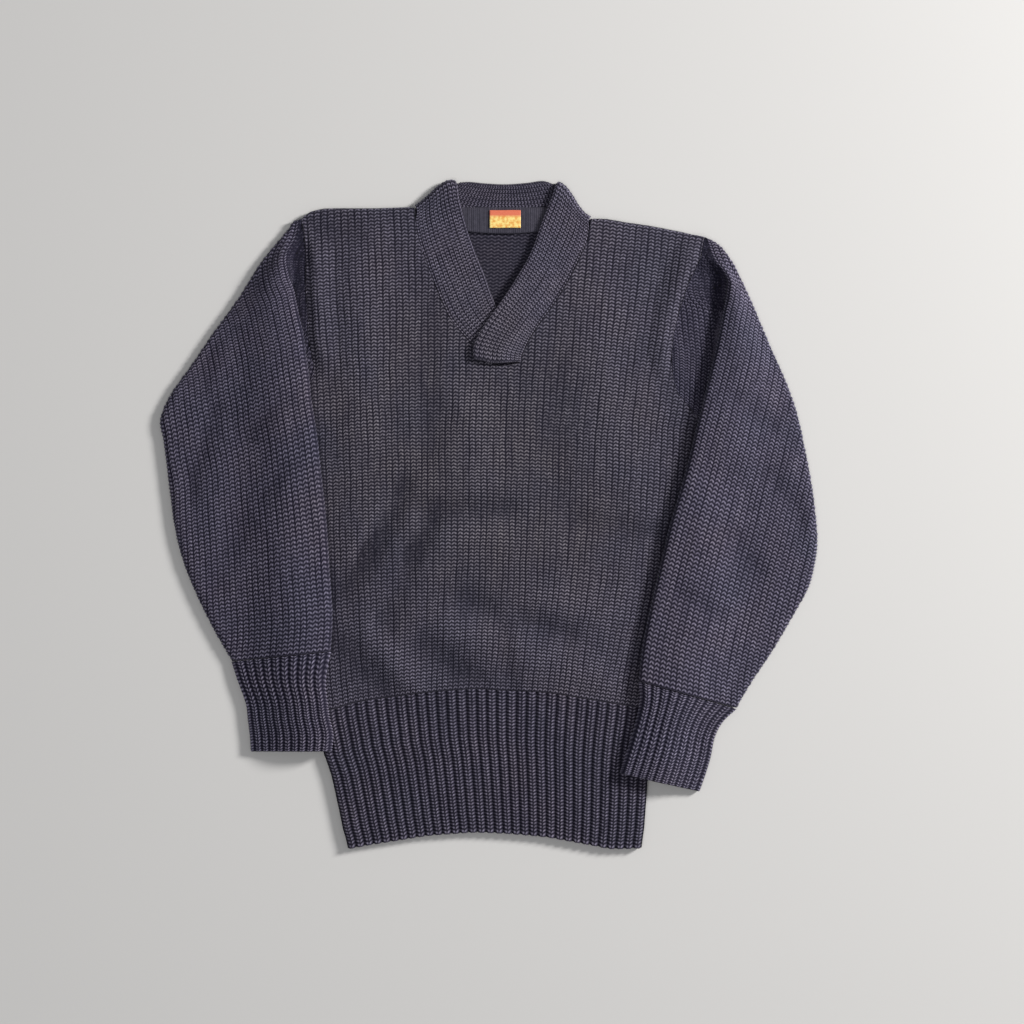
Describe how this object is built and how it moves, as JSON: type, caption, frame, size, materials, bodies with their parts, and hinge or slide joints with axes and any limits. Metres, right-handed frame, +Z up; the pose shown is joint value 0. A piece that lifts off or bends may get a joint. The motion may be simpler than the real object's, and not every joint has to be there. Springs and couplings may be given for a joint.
{
  "type": "wool sweater",
  "caption": "Heavy knitted wool pullover with a crossed shawl collar, deep ribbed waistband and ribbed cuffs, laid flat on its back with both sleeves folded down.",
  "frame": {"origin": "on the surface that the sweater lies on, under the middle of its outline", "axes": "+Z up out of the front, +Y towards the neck, +X towards the wearer's left sleeve"},
  "size_m": [0.69, 0.7008, 0.0191],
  "materials": {
    "wool_knit": "dark slate violet wool in plain knit, dull and slightly fuzzy",
    "rib_knit": "the same wool in tight ribs, dull",
    "tape_knit": "finer dark knitted tape, dull",
    "label_weave": "woven label, satin, gold field with a brick red band, no lettering"
  },
  "bodies": {
    "root": {"front": "wool_knit", "back": "wool_knit", "waistband_front": "rib_knit", "waistband_back": "rib_knit", "sleeve_right": "wool_knit", "sleeve_left": "wool_knit", "cuff_right": "rib_knit", "cuff_left": "rib_knit", "collar": "rib_knit", "neck_tape": "tape_knit", "label": "label_weave"}
  },
  "joints": []
}
